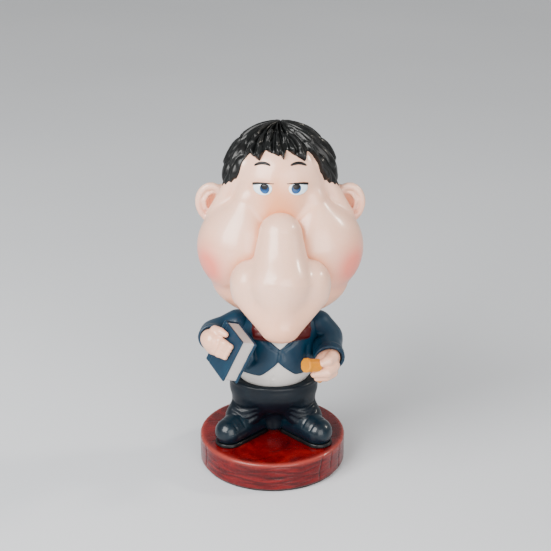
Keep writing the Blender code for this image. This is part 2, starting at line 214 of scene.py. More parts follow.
def cast(name, field, low, high, voxel, paint, slot, *nodes, near=None):
    """The field's surface as a mesh of small quads. near: neighbours that deepen its painted crease
    shade.
    """
    low, high = vec(*low), vec(*high)
    counts = np.ceil((high - low) / voxel).astype(int) + 1
    across = np.stack(np.meshgrid(low[1] + voxel * np.arange(counts[1]),
                                  low[2] + voxel * np.arange(counts[2]), indexing="ij"), -1)
    points = np.empty((*counts[1:], 3), dtype=np.float32)
    points[..., 1:] = across
    values = np.empty(counts, dtype=np.float32)
    for index in range(counts[0]):
        points[..., 0] = low[0] + voxel * index
        values[index] = field(points)
    grid = openvdb.FloatGrid(3 * voxel)
    grid.copyFromArray(values)
    verts, triangles, quads = grid.convertToPolygons(isovalue=0.0, adaptivity=0.0)
    verts = low + np.asarray(verts, dtype=np.float32) * voxel
    verts = verts + settling(field, verts, voxel)
    faces = [tuple(face) for face in quads[:, ::-1]] + [tuple(face) for face in triangles[:, ::-1]]
    piece = finish_piece(name, verts, faces, paint, slot, *nodes)
    mark_crease_shade(piece, union(field, *near) if near else field)
    return piece


def settling(field, verts, voxel):
    """One capped step from each point towards the field's surface, along its slope."""
    probe = 0.05
    slope = np.empty_like(verts)
    for axis in range(3):
        shift = np.zeros(3, dtype=np.float32)
        shift[axis] = probe
        slope[:, axis] = (field(verts + shift) - field(verts - shift)) / (2 * probe)
    steep = np.maximum((slope * slope).sum(axis=1), 0.05)
    step = -slope * (field(verts) / steep)[:, None]
    length = np.linalg.norm(step, axis=1, keepdims=True)
    return step * np.minimum(1, 0.5 * voxel / np.maximum(length, 1e-6))


def points_of(piece):
    points = np.empty(len(piece.data.vertices) * 3, dtype=np.float32)
    piece.data.vertices.foreach_get("co", points)
    return points.reshape(-1, 3) / MM


def attribute(piece, name, values):
    """Stores one number for each of the piece's points, for its paint to read."""
    layer = piece.data.attributes.new(name, "FLOAT", "POINT")
    layer.data.foreach_set("value", np.asarray(values, dtype=np.float32))


def mark_crease_shade(piece, field, reach=1.6):
    """Stores how enclosed each point is: 0 in the open, 1 deep in a crease. Paints darken by it as
    painted shade.
    """
    normals = np.empty(len(piece.data.vertices) * 3, dtype=np.float32)
    piece.data.vertex_normals.foreach_get("vector", normals)
    room = field(points_of(piece) + normals.reshape(-1, 3) * reach)
    attribute(piece, "hollow", np.clip((0.93 * reach - room) / (0.7 * reach), 0, 1))


# Paints ------------------------------------------------------------------------------------------

class Paint:
    """A Principled material under construction, with short names for its nodes."""

    def __init__(self, name, roughness=0.25, coat=0.6, coat_roughness=0.06, specular=0.5):
        self.material = bpy.data.materials.new(name)
        self.material.use_nodes = True
        self.nodes = self.material.node_tree.nodes
        self.links = self.material.node_tree.links
        self.shader = self.nodes["Principled BSDF"]
        self.shader.inputs["Roughness"].default_value = roughness
        self.shader.inputs["Specular IOR Level"].default_value = specular
        self.shader.inputs["Coat Weight"].default_value = coat
        self.shader.inputs["Coat Roughness"].default_value = coat_roughness
        self.place = self.nodes.new("ShaderNodeTexCoord").outputs["Object"]

    def read(self, name):
        node = self.nodes.new("ShaderNodeAttribute")
        node.attribute_name = name
        return node.outputs["Fac"]

    def noise(self, scale, detail=3, stretch=(1, 1, 1), distortion=0.0):
        mapping = self.nodes.new("ShaderNodeMapping")
        mapping.inputs["Scale"].default_value = stretch
        self.links.new(self.place, mapping.inputs["Vector"])
        return self.noise_on(mapping.outputs["Vector"], scale, detail, distortion)

    def noise_on(self, vector, scale, detail=3, distortion=0.0):
        node = self.nodes.new("ShaderNodeTexNoise")
        node.inputs["Scale"].default_value = scale
        node.inputs["Detail"].default_value = detail
        node.inputs["Distortion"].default_value = distortion
        self.links.new(vector, node.inputs["Vector"])
        return node.outputs["Fac"]

    def ramp(self, value, stops):
        """A colour ramp; stops are (position, colour)."""
        node = self.nodes.new("ShaderNodeValToRGB")
        elements = node.color_ramp.elements
        while len(elements) < len(stops):
            elements.new(0.5)
        for element, (position, colour) in zip(elements, stops):
            element.position = position
            element.color = (*colour, 1)
        self.links.new(value, node.inputs["Fac"])
        return node.outputs["Color"]

    def scaled(self, value, low, high):
        """The value's 0 to 1 mapped onto low to high."""
        node = self.nodes.new("ShaderNodeMapRange")
        node.inputs["To Min"].default_value = low
        node.inputs["To Max"].default_value = high
        self.links.new(value, node.inputs["Value"])
        return node.outputs["Result"]

    def mix(self, share, first, second):
        node = self.nodes.new("ShaderNodeMix")
        node.data_type = "RGBA"
        factor, tint_a, tint_b = node.inputs[0], node.inputs[6], node.inputs[7]
        for value, target in ((share, factor), (first, tint_a), (second, tint_b)):
            if isinstance(value, bpy.types.NodeSocket):
                self.links.new(value, target)
            elif target is factor:
                target.default_value = value
            else:
                target.default_value = (*value, 1)
        return node.outputs[2]

    def colour(self, output):
        self.links.new(output, self.shader.inputs["Base Color"])

    def gloss(self, value, low, high):
        self.links.new(self.scaled(value, low, high), self.shader.inputs["Roughness"])

    def bump(self, height, depth):
        """depth in millimetres"""
        node = self.nodes.new("ShaderNodeBump")
        node.inputs["Distance"].default_value = depth * MM
        self.links.new(height, node.inputs["Height"])
        for target in ("Normal", "Coat Normal"):
            self.links.new(node.outputs["Normal"], self.shader.inputs[target])


def brushed_paint(name, base, dark, light, roughness=0.22, coat=0.6, bump=0.03, specular=0.5):
    """Hand-brushed gloss paint: soft pools of tone, faint streaks, painted shade in the creases and a
    lacquer's orange peel.
    """
    paint = Paint(name, roughness=roughness, coat=coat, specular=specular)
    pools = paint.ramp(paint.noise(160, 4), [(0.25, dark), (0.52, base), (0.80, light)])
    streaks = paint.noise(420, 3, stretch=(1, 1, 0.35), distortion=0.6)
    brushed = paint.mix(0.15, pools, paint.ramp(streaks, [(0.3, dark), (0.7, light)]))
    # Painted shade: the colour darkens towards a darker copy of the dark tone where the hollow value
    # marks a crease.
    shadow = tuple(0.35 * value for value in dark)
    paint.colour(paint.mix(paint.scaled(paint.read("hollow"), 0, 0.7), brushed, shadow))
    paint.gloss(paint.noise(240, 2), roughness * 0.75, roughness * 1.35)
    paint.bump(paint.noise(520, 2), bump)
    return paint.material


def skin_paint():
    """Pale flesh resin with airbrushed blush, warm shade in the hollows and a clear coat."""
    paint = Paint("skin_paint", roughness=0.34, coat=0.55, coat_roughness=0.14)
    paint.shader.inputs["Subsurface Weight"].default_value = 0.10
    paint.shader.inputs["Subsurface Radius"].default_value = (1.0, 0.45, 0.25)
    paint.shader.inputs["Subsurface Scale"].default_value = 1.5 * MM
    tone = paint.ramp(paint.noise(90, 4), [(0.3, SKIN_WARM), (0.7, SKIN)])
    speckle = paint.ramp(paint.noise(1100, 2), [(0.40, (0.70, 0.38, 0.27)), (0.60, SKIN_PALE)])
    tone = paint.mix(0.05, tone, speckle)
    tone = paint.mix(paint.read("shade"), tone, SKIN_SHADE)
    tone = paint.mix(paint.read("blush"), tone, BLUSH)
    # Painted shade: the skin darkens towards a crease colour where the hollow value marks a crease.
    tone = paint.mix(paint.scaled(paint.read("hollow"), 0, 0.45), tone, SKIN_CREASE_SHADE)
    paint.colour(tone)
    paint.gloss(paint.noise(200, 2), 0.28, 0.40)
    paint.bump(paint.noise(420, 2), 0.02)
    return paint.material


SKIN = (0.98, 0.720, 0.580)
SKIN_WARM = (0.97, 0.670, 0.510)
SKIN_PALE = (0.97, 0.82, 0.74)
SKIN_SHADE = (0.86, 0.320, 0.120)
SKIN_CREASE_SHADE = (0.55, 0.190, 0.080)
BLUSH = (0.92, 0.105, 0.100)


def hair_paint():
    """Black lacquer over carved strands; fine grooves follow the strands."""
    paint = Paint("hair_paint", roughness=0.34, coat=0.16, coat_roughness=0.12, specular=0.22)
    tone = paint.ramp(paint.noise(240, 4), [(0.3, (0.001, 0.001, 0.001)),
                                            (0.75, (0.004, 0.005, 0.005))])
    paint.colour(tone)
    paint.gloss(paint.noise(300, 2), 0.30, 0.42)
    combine = paint.nodes.new("ShaderNodeCombineXYZ")
    paint.links.new(paint.read("across"), combine.inputs["X"])
    paint.links.new(paint.read("along"), combine.inputs["Y"])
    paint.bump(paint.noise_on(combine.outputs["Vector"], 1.0, 3), 0.02)
    return paint.material


def iris_paint():
    """Blue below, shading to near black under the lid."""
    paint = Paint("iris_paint", roughness=0.25, coat=0.2, specular=0.3)
    rise = paint.ramp(paint.read("rise"), [(0.10, (0.016, 0.085, 0.240)), (0.42, (0.006, 0.032, 0.110)),
                                           (0.66, (0.002, 0.004, 0.012))])
    flecks = paint.ramp(paint.noise(1500, 3), [(0.35, (0.004, 0.020, 0.080)), (0.7, (0.03, 0.16, 0.38))])
    paint.colour(paint.mix(0.2, rise, flecks))
    paint.gloss(paint.noise(600, 2), 0.20, 0.30)
    return paint.material


def plinth_paint():
    """Deep red lacquer over a carved wood grain that darkens in its grooves, with a painted highlight
    along the top rim.
    """
    paint = Paint("plinth_paint", roughness=0.34, coat=0.12, specular=0.25)
    grain = paint.noise(150, 5, stretch=(0.6, 0.6, 5.0), distortion=1.2)
    tone = paint.ramp(grain, [(0.30, (0.034, 0.000, 0.001)), (0.50, (0.090, 0.001, 0.002)),
                              (0.72, (0.160, 0.004, 0.004))])
    tone = paint.mix(paint.read("groove"), tone, (0.010, 0.001, 0.001))
    # Painted highlight: a lighter pink along the top rim where the edge value peaks.
    tone = paint.mix(paint.scaled(paint.read("edge"), 0, 0.5), tone, (0.34, 0.060, 0.045))
    paint.colour(tone)
    paint.gloss(paint.noise(300, 3), 0.20, 0.34)
    paint.bump(grain, 0.06)
    return paint.material


# Head --------------------------------------------------------------------------------------------

def at_head(point, side=1):
    return (HEAD_X + side * point[0], point[1], point[2])


def pair(form, *points, sides=(-1, 1)):
    """form(points, ...) on both sides of the face."""
    return [form(*[at_head(point, side) for point in points]) for side in sides]


def head_field():
    skull = melt(4.0, ball(at_head((0, 3, 121)), (20, 20.5, 20.5)),
                 ball(at_head((0, -1, 108)), (18, 17, 22)), ball(at_head((0, 4, 98)), (22, 17, 20)))
    jaw = ball(at_head((0, -5, 83.1)), (27.0, 16, 15.9))
    pouches = pair(lambda place: ball(place, (19.2, 17.2, 19.6)), (13.2, -5.5, 96.2))
    tops = pair(lambda top, low: limb(top, low, 5.2, 12.5), (12.2, -9.6, 117.0), (13.4, -8.5, 101))
    bands = pair(lambda top, low: limb(top, low, 2.4, 3.5), (14.5, -6.0, 130), (25.0, -2.8, 108.5))
    cheeks = [melt(5.0, pouch, top) for pouch, top in zip(pouches, tops)]
    return melt(1.8, melt(2.2, skull, *bands), melt(1.4, jaw, *cheeks))


def nose_field():
    ridge = limb(at_head((0, -22.6, 107.0)), at_head((0, -29.4, 91.4)), 8.3, 12.0)
    tip = limb(at_head((0, -30.6, 89)), at_head((0, -36.6, 75.6)), 12.2, 5.6)
    wings = pair(lambda place: ball(place, (8.0, 8.8, 8.7)), (11.1, -26.6, 89.4))
    flanks = pair(lambda high, low: limb(high, low, 6.4, 5.2), (11.6, -28, 85.1), (2.5, -36.2, 75.2))
    nostrils = pair(lambda place: ball(place, (2.6, 3.4, 2.2)), (6.2, -29.5, 71.4))
    body = melt(3.0, ridge, tip, *flanks)
    return carve(1.2, melt(2.2, body, *wings), *nostrils)


def gaussian(points, centre, radii):
    return np.exp(-(((points - vec(*centre)) / vec(*radii)) ** 2).sum(axis=1))


def mark_skin(piece, nose):
    """Airbrushed blush on the cheeks; warm shade round the nose, between the eyes and below."""
    points = points_of(piece)
    blush = sum(gaussian(points, at_head((27.5, -14, 92.5), side), (7.5, 12, 8)) for side in (-1, 1))
    blush += 0.35 * sum(gaussian(points, at_head((28, -8, 86), side), (9, 12, 8)) for side in (-1, 1))
    recess = gaussian(points, at_head((0, -19, 118)), (9.5, 8, 11))
    beside = np.exp(-(np.maximum(nose(points), 0) / 2.6) ** 2) * (points[:, 1] < -5)
    under = np.clip((92 - points[:, 2]) / 16, 0, 1) * np.clip((8 - points[:, 1]) / 10, 0, 1)
    attribute(piece, "blush", np.clip(1.0 * blush, 0, 0.9))
    attribute(piece, "shade", np.clip(0.90 * recess + 0.50 * beside + 0.50 * under, 0, 0.9))


def make_head(paint, head, nose):
    piece = cast("head_skin", head, HEAD_LOW - 3, HEAD_HIGH + 3, 0.8, paint, "skin_paint", "head",
                 near=[nose])
    mark_skin(piece, nose)
    piece = cast("nose_skin", nose, NOSE_LOW - 3, NOSE_HIGH + 3, 0.66, paint, "skin_paint", "nose",
                 near=[head])
    points = points_of(piece)
    # Painted shade: darker towards the nose's underside and next to the head.
    nose_low_shade = 0.42 * np.clip((88 - points[:, 2]) / 14, 0, 1)
    nose_root_shade = 0.35 * np.exp(-(np.maximum(head(points), 0) / 1.5) ** 2)
    attribute(piece, "shade", nose_low_shade + nose_root_shade)
    attribute(piece, "blush", 0 * points[:, 0])


def make_ear(paint, head, side, label):
    """A thick rim round a bowl, with an inner ridge, set on a root that runs down the cheek."""
    low, high = node_box("ear_" + label)
    outer = high[0] if side > 0 else low[0]
    centre = vec(outer - side * 6.4, (low[1] + high[1]) / 2 - 0.4, (low[2] + high[2]) / 2 - 1.4)

    def at(out, front, up):
        return centre + vec(side * out, -front, up)

    rim_path = [at(5.0 * math.cos(t) - 0.2, 0.3, 6.5 * math.sin(t))
                for t in np.radians(np.linspace(150, -95, 15))]
    rim = chain(rim_path, np.interp(np.arange(15), [0, 5, 10, 14], [1.5, 1.5, 1.35, 1.7]))
    dish = ball(at(0, -1.3, 0), (5.4, 1.7, 6.6))
    ridge = chain([at(-1.6, 0.2, 4.2), at(1.0, 0.7, 3.4), at(2.5, 0.8, 0.8), at(1.9, 0.8, -2.0),
                   at(-0.2, 0.6, -3.9)], [0.6, 0.85, 0.95, 0.9, 0.8])
    lobe = ball(at(-1.4, 0.2, -6.0), (2.7, 1.9, 2.3))
    root = limb(at(-4.6, -1.0, 4.0), at(-2.6, -0.4, -7.0), 3.0, 2.4)
    flap = ball(at(-3.4, 1.0, -1.6), (1.4, 1.3, 1.9))
    bowl = ball(at(-1.2, 1.4, 0.0), (2.6, 2.3, 3.4))
    shell = carve(0.8, melt(1.0, dish, rim, ridge, lobe, root), bowl)
    shell = melt(0.9, shell, flap)
    form = keep(0.5, melt(2.2, shell, grown(head, -0.3)), ball(at(-1.2, 0, -0.6), 10.2))
    span = vec(11.5, 11.5, 11.5)
    ear = cast("ear_skin_" + label, form, centre - span, centre + span, 0.46, paint,
               "skin_paint", "ear_" + label)
    points = points_of(ear)
    attribute(ear, "blush", 0.25 * gaussian(points, at(2.5, 0, -3), (4, 4, 5)))
    attribute(ear, "shade", 0.55 * gaussian(points, at(-0.9, -0.6, 0.2), (2.8, 2.4, 3.6)))


# Face paint --------------------------------------------------------------------------------------

def patch(name, field, centre, outline, height, paint, slot, *nodes, rings=12, spokes=64):
    """A thin domed patch on the front of a field: outline(angle) gives its edge from the centre."""
    angles = np.linspace(0, math.tau, spokes, endpoint=False)
    edge = np.array([outline(angle) for angle in angles])
    loops = []
    for share in np.linspace(0, 1, rings + 1):
        x, z = centre[0] + edge[:, 0] * share, centre[1] + edge[:, 1] * share
        rise = height * math.sqrt(max(0, 1 - share ** 4)) - 0.25 * (share == 1)
        loops.append(np.stack([x, surface_y(field, x, z) - rise, z], -1))
    verts = np.concatenate([loops[0][:1], *loops[1:], loops[0][:1] + (0, height + 1.2, 0)])
    piece = finish_piece(name, verts, closed_faces(rings, spokes), paint, slot, *nodes)
    attribute(piece, "rise", (verts[:, 2] - centre[1]) / 4.0 + 0.5)
    return piece


def fan(tip, start, count):
    return [(tip, start + (i + 1) % count, start + i) for i in range(count)]


def band(upper, lower, count):
    """Quads between two closed loops of points."""
    return [(upper + i, upper + (i + 1) % count, lower + (i + 1) % count, lower + i)
            for i in range(count)]


def closed_faces(loops, count):
    """Faces of a closed sheet: a tip, loops of count points each, and a second tip."""
    faces = fan(0, 1, count)
    for row in range(loops - 1):
        faces += band(1 + row * count, 1 + (row + 1) * count, count)
    last = 1 + (loops - 1) * count
    return faces + [face[::-1] for face in fan(last + count, last, count)]


def egg(width, top, bottom, squareness=2.6):
    """An outline with a flatter top: its half width and its reach up and down."""
    def outline(angle):
        c, s = math.cos(angle), math.sin(angle)
        height, power = (top, squareness) if s > 0 else (bottom, 2.0)
        reach = (abs(c / width) ** power + abs(s / height) ** power) ** (-1 / power)
        return reach * c, reach * s
    return outline


def stroke(name, field, path, radii, paint, slot, *nodes):
    """A painted line that lies on the field's front; path holds (x, z) pairs."""
    path = np.array(path)
    depth = surface_y(field, path[:, 0], path[:, 1]) - 0.12
    points = np.stack([path[:, 0], depth, path[:, 1]], -1)
    low, high = points.min(axis=0) - 1.2, points.max(axis=0) + 1.2
    return cast(name, chain(points, radii), low, high, 0.16, paint, slot, *nodes)


def make_eyes(head, paints):
    for side, label in ((1, "left"), (-1, "right")):
        x, z = HEAD_X + side * 6.7, node_middle("eye_" + label)[2] - 0.6
        patch("eye_white_" + label, head, (x, z + 0.4), egg(3.75, 1.9, 2.7, 3.2), 0.45,
              paints["eye_white"], "white_paint", "eye_" + label)
        patch("iris_glaze_" + label, head, (x - side * 0.75, z + 0.45), egg(2.1, 1.85, 2.1), 0.66,
              paints["iris"], "iris_paint", "iris_" + label)
        patch("pupil_" + label, head, (x - side * 0.65, z + 1.15), egg(1.6, 1.2, 1.3), 0.78,
              paints["ink"], "hair_paint", rings=7, spokes=40)
        steps = np.linspace(-1, 1, 25)
        lid = [(x + side * t * 3.8 - side * 0.35, z + 2.35 - 0.35 * t - 0.25 * t * t) for t in steps]
        thick = 0.14 + 0.36 * np.clip(0.55 + 0.8 * steps, 0, 1)
        stroke("lid_line_" + label, head, lid, thick, paints["ink"], "hair_paint", "lid_" + label)
        brow = [(x + side * (0.1 + t * 2.9), z + 9.3 - 0.8 * t * t - 0.3 * t) for t in steps]
        thick = 0.24 + 0.36 * np.sqrt(np.clip(1 - steps ** 2, 0, 1))
        stroke("eyebrow_stroke_" + label, head, brow, thick, paints["ink"], "hair_paint",
               "eyebrow_" + label)


# Hair --------------------------------------------------------------------------------------------

HAIRLINE = [(-180, 128), (-120, 128), (-106, 88), (-74, 92), (-62, 86), (-55, 80), (-50, 73),
            (-47.5, 52), (-45, 49), (-26, 55), (-22, 43), (-2, 49), (0, 47.5), (4, 53), (9, 42),
            (31, 56), (36, 50), (42, 46), (46, 50), (48.5, 70), (53, 79), (60, 85), (74, 92),
            (106, 88), (120, 128), (180, 128)]
LOCK_EDGES = [-180, -158, -136, -112, -90, -68, -47, -36, -22, -8, 9, 22, 42, 62, 86, 110, 134, 158,
              180]


def hairline(turn):
    """Polar angle of the hair's edge, both in degrees: 0 faces front, positive towards +X."""
    stops = np.array(HAIRLINE)
    line = np.interp(turn, stops[:, 0], stops[:, 1])
    side = (np.abs(turn) > 47) & (np.abs(turn) < 118)
    return line + side * 2.2 * (np.abs(((turn * 0.19) % 1) - 0.5) * 2 - 0.5)


def groove(lock, power=0.55):
    """0 on the back of each strand, 1 in the valleys between strands."""
    return 1 - np.abs(np.sin(math.pi * lock)) ** power


def make_hair(paint, head):
    centre = vec(HEAD_X, 4, 120)
    dome = melt(4.0, ball(at_head((0, 3, 123)), (23.2, 23, 20.9)),
                ball(at_head((0, 8, 113)), (20.5, 17.5, 15)))
    columns, rows = 480, 78
    turn = np.linspace(-180, 180, columns, endpoint=False)
    edge = hairline(turn)
    share = np.concatenate([np.linspace(0, 0.86, rows - 24), np.linspace(0.87, 1, 24)])[:, None]
    polar, around = np.radians(share * edge), np.radians(turn)[None, :] + 0 * share
    rays = np.stack([np.sin(polar) * np.sin(around), -np.sin(polar) * np.cos(around),
                     np.cos(polar)], -1).reshape(-1, 3).astype(np.float32)
    outer = reach_along(dome, centre, rays).reshape(rows, columns)
    inner = reach_along(head, centre, rays).reshape(rows, columns)
    swirled = (turn[None, :] + 26 * (1 - share) ** 1.5 + 180) % 360 - 180
    lock = np.interp(swirled, LOCK_EDGES, np.arange(len(LOCK_EDGES)))
    wander = lock + 0.10 * np.sin(9 * share + 2.1 * lock)
    depth = 2.9 * groove(wander, 0.7) + 0.55 * groove(2 * wander + 0.3 * np.sin(7 * share), 0.8)
    for tier, phase in ((0.36, 0.5), (0.64, 0.15)):
        tooth = np.abs(np.sin(math.pi * (lock + phase)))
        past = (share - tier - 0.13 * tooth) * edge / 52
        depth = depth + 0.9 * np.clip(past / 0.04, 0, 1) * np.exp(-np.maximum(past, 0) / 0.20)
    depth = depth * np.clip(share / 0.22, 0.12, 1) + 0.25 * np.sin(11 * share + 3 * lock) * share
    rounding = np.sqrt(np.clip(1 - np.clip((share - 0.90) / 0.10, 0, 1) ** 2, 0, 1))
    reach = inner - 0.7 + np.maximum(outer - depth - inner + 0.7, 1.3) * rounding
    steps = [rows - 1, rows - 20, rows // 2, rows // 4]
    lining = (inner - 1.6)[steps]
    verts = centre + rays.reshape(rows, columns, 3) * reach[..., None]
    under = centre + rays.reshape(rows, columns, 3)[steps] * lining[..., None]
    sheet = np.concatenate([verts[0, :1], verts[1:].reshape(-1, 3), under.reshape(-1, 3),
                            [centre + (0, 0, inner[0, 0] - 1.6)]])
    faces = closed_faces(rows - 1 + len(steps), columns)
    hair = finish_piece("hair_locks", sheet, [face[::-1] for face in faces], paint, "hair_paint",
                        "hair")
    points = points_of(hair)
    flat = np.hypot(points[:, 0] - centre[0], points[:, 1] - centre[1])
    angle = np.arctan2(points[:, 0] - centre[0], centre[1] - points[:, 1])
    attribute(hair, "across", (angle + 0.3 * flat / 22) * 14)
    attribute(hair, "along", points[:, 2] * 0.12)


# Clothes -----------------------------------------------------------------------------------------

def torso_field():
    belly = ball((BODY_X, -1, 47), (18.2, 14.8, 15))
    chest = ball((CHEST_X, 0, 57.5), (16.6, 13.0, 12.4))
    return melt(5.0, belly, chest)


def on_front(field, pairs, proud=0.0):
    """Points on a field's front for (x, z) pairs."""
    pairs = np.array(pairs)
    depth = surface_y(field, pairs[:, 0], pairs[:, 1]) - proud
    return np.stack([pairs[:, 0], depth, pairs[:, 1]], -1)


def make_torso(paints, torso, covers):
    low, high = vec(-20, -18, WAIST - 1), vec(24, 16, 71)
    shirt = keep(0.6, grown(torso, -0.9), slab((0, 0, -1), -WAIST + 0.6), slab((0, 0, 1), 69))
    placket = chain(on_front(grown(torso, -0.9), [(BODY_X - 0.6, WAIST), (BODY_X - 0.2, 44),
                                                  (BODY_X + 0.4, 51)]), 0.3)
    shirt = carve(0.5, shirt, placket)
    cast("shirt_front", shirt, low, high, 0.8, paints["white"], "white_paint", "shirt", near=[torso])
    apex_x, apex_z, hem, button = CHEST_X - 0.8, 50.2, 44.3, 55.2

    def under_hem(points):
        x, z = points[..., 0], points[..., 2]
        tent = np.clip(1 - np.abs(x - apex_x) / 7.2, 0, 1) ** 1.1
        edge = hem + (apex_z - hem) * tent + 0.03 * np.maximum(np.abs(x - apex_x) - 8, 0) ** 1.3
        edge = np.where(points[..., 1] > 2, 41.0, edge)
        return 0.75 * (z - edge)

    def neckline(points):
        x, z = np.abs(points[..., 0] - CHEST_X), points[..., 2]
        return np.maximum(0.7 * (x - (z - button) * 1.25), points[..., 1] - 1.0)

    opening = on_front(torso, [(CHEST_X, button + 0.2), (CHEST_X - 0.2, 53), (apex_x, apex_z - 0.4)])
    crossing = on_front(torso, [(CHEST_X + 0.2, button), (CHEST_X + 1.6, 53.4), (CHEST_X + 1.8, 51.5)])
    lapels = [on_front(torso, [(CHEST_X + side * 0.3, button - 0.6), (CHEST_X + side * 4.6, 57.0),
                               (CHEST_X + side * 7.6, 60.2), (CHEST_X + side * 8.6, 63.5)])
              for side in (-1, 1)]
    folds = [on_front(torso, [(CHEST_X + side * 13.0, 47.5), (CHEST_X + side * 10.5, 51),
                              (CHEST_X + side * 10.8, 55.5)]) for side in (-1, 1)]
    jacket = carve(0.5, torso, under_hem, neckline)
    jacket = carve(0.6, jacket, chain(opening, 0.42), chain(crossing, [0.3, 0.25, 0.1]),
                   *[chain(path, [0.2, 0.4, 0.4, 0.2]) for path in lapels])
    jacket = carve(1.6, jacket, *[chain(path, [0.2, 0.7, 0.2]) for path in folds])
    jacket = keep(0.5, jacket, slab((0, 0, 1), 69.5))
    cast("jacket_cloth", jacket, low, high, 0.6, paints["navy"], "navy_paint", "jacket", near=covers)


def arm_points(label):
    """Shoulder, elbow, wrist."""
    if label == "left":
        return vec(18.2, 0.5, 59.6), vec(21.6, -2, 55.4), vec(22.6, -14.5, 52.4)
    return vec(-14.0, 0.5, 60.0), vec(-23.2, -2, 56.8), vec(-24.2, -11.8, 60.0)


SLEEVE_RADII = {"left": (6.5, 6.2, 5.9), "right": (6.3, 5.4, 4.8)}


def sleeve_field(label):
    """A sleeve with soft folds at the elbow and a turned, hollow cuff."""
    shoulder, elbow, wrist = arm_points(label)
    r_shoulder, r_elbow, r_wrist = SLEEVE_RADII[label]
    run = (wrist - elbow) / np.linalg.norm(wrist - elbow)
    arm = melt(3.0, limb(shoulder, elbow, r_shoulder, r_elbow), limb(elbow, wrist, r_elbow, r_wrist))
    cuff = keep(0.5, limb(elbow, wrist, r_elbow, r_wrist + 0.35), slab(-run, -run @ wrist + 2.4))
    trimmed = keep(0.6, melt(0.5, arm, cuff), slab(run, run @ wrist + 1.0))
    hollow = limb(wrist + run * 0.4, wrist + run * 3, r_wrist - 1.0)
    inward = 1 if label == "right" else -1
    folds = []
    for drop, depth in ((2.5, 1.0), (-1.5, 0.8)):
        crease = [elbow + vec(inward * r_elbow * wide, -r_elbow * front, drop + rise)
                  for wide, front, rise in ((0.95, 0.2, -1.2), (0.75, 0.75, 0.0), (0.3, 1.0, 0.8))]
        folds.append(chain(crease, depth * vec(0.7, 1.0, 0.2)))
    return carve(0.5, carve(2.2, trimmed, *folds), hollow)


def make_sleeves(paints, torso):
    for label in ("left", "right"):
        sleeve = sleeve_field(label)
        points = np.array(arm_points(label))
        cast("sleeve_cloth_" + label, sleeve, points.min(axis=0) - 8, points.max(axis=0) + 8, 0.48,
             paints["navy"], "navy_paint", "sleeve_" + label, near=[torso])


def both(side, x, y, z):
    return vec(BODY_X + side * x, y, z)


def trouser_field():
    hips = ball((BODY_X, -0.5, 33.9), (18.1, 13.6, 12))
    legs = [limb(both(side, 6.6, -1, 30), both(side, 13.0, -4.4, 20.8), 8.1, 6.9)
            for side in (-1, 1)]
    backs = [limb(both(side, 5.2, 1.5, 29), both(side, 7.4, 2.4, 19.0), 7.6, 6.4)
             for side in (-1, 1)]
    seat = limb(both(1, 0, 2.0, 25), both(1, 0, 0.2, 14.0), 6.0, 4.6)
    form = melt(2.6, hips, *legs, *backs, seat)
    rim = keep(0.5, grown(hips, 0.35), slab((0, 0, -1), -WAIST + 1.5))
    form = keep(0.8, melt(0.5, form, rim), slab((0, 0, 1), WAIST), slab((0, 0, -1), -FLOOR - 1.6))
    front = grown(form, -0.1)
    folds = []
    for side in (-1, 1):
        for drop in range(3):
            arc = [(BODY_X + side * x, z - 2.3 * drop) for x, z in
                   ((7.0, 28.2), (10.0, 27.0), (13.4, 26.8), (16.6, 28.0))]
            folds.append(chain(on_front(front, arc), [0.1, 0.35, 0.4, 0.1]))
    return carve(1.5, form, *folds)


SHOE_HEEL = (7.6, -0.4, 17.6)
SHOE_TOE = (18.2, -11.3, 17.5)


def shoe_field(side):
    """A round toe with a cap seam and a second seam across it, and a high instep."""
    heel, toe = both(side, *SHOE_HEEL), both(side, *SHOE_TOE)
    upper = limb(heel, toe, 5.7, 5.75)
    instep = limb(both(side, 11.5, -4.0, 21.8), both(side, 15.0, -7.9, 19.4), 5.0, 4.6)
    shoe = keep(0.4, melt(3.0, upper, instep), slab((0, 0, -1), -SOLE_TOP + 0.05))
    run = (toe - heel) / np.linalg.norm(toe - heel)
    across = np.cross(run, vec(0, 0, 1))
    seams = []
    for station, width in ((0.98, 0.28), (0.72, 0.2)):
        middle = heel + (toe - heel) * station
        arc = []
        for t in np.linspace(-1.1, 1.1, 13):
            ray = across * math.sin(t) + vec(0, 0, 1) * math.cos(t)
            arc.append(middle + run * 1.2 * math.cos(t) + ray * reach_along(shoe, middle, ray[None])[0])
        seams.append(chain(arc, width))
    return carve(0.5, shoe, *seams)


def make_legs(paints):
    trousers = trouser_field()
    shoes = {side: shoe_field(side) for side in (-1, 1)}
    cast("trouser_cloth", trousers, vec(-20, -19, FLOOR), vec(22, 15, WAIST + 1), 0.62,
         paints["trousers"], "trouser_paint", "trousers", near=list(shoes.values()))
    for side, label in ((1, "left"), (-1, "right")):
        heel, toe = both(side, *SHOE_HEEL), both(side, *SHOE_TOE)
        low, high = np.minimum(heel, toe) - 7.5, np.maximum(heel, toe) + 10
        cast("shoe_upper_" + label, shoes[side], low, high, 0.44, paints["shoe"], "trouser_paint",
             "shoe_" + label, near=[trousers])
        floor = FLOOR + 0.05
        sole = limb((*heel[:2], floor), (*toe[:2], floor), 5.5, 5.7)
        sole = keep(0.35, sole, slab((0, 0, 1), SOLE_TOP + 0.1), slab((0, 0, -1), -floor))
        welt = carve(0.25, sole, welt_groove(heel, toe))
        cast("shoe_sole_" + label, welt, low, high - (0, 0, 12), 0.36, paints["ink"], "pad_rubber",
             "sole_" + label)


def welt_groove(heel, toe):
    """The thin groove between a shoe's sole and its welt."""
    outline = limb((*heel[:2], 0), (*toe[:2], 0), 5.35, 5.55)

    def field(points):
        flat = points * vec(1, 1, 0)
        return np.hypot(outline(flat) - 0.15, points[..., 2] - SOLE_TOP + 0.45) - 0.16
    return field


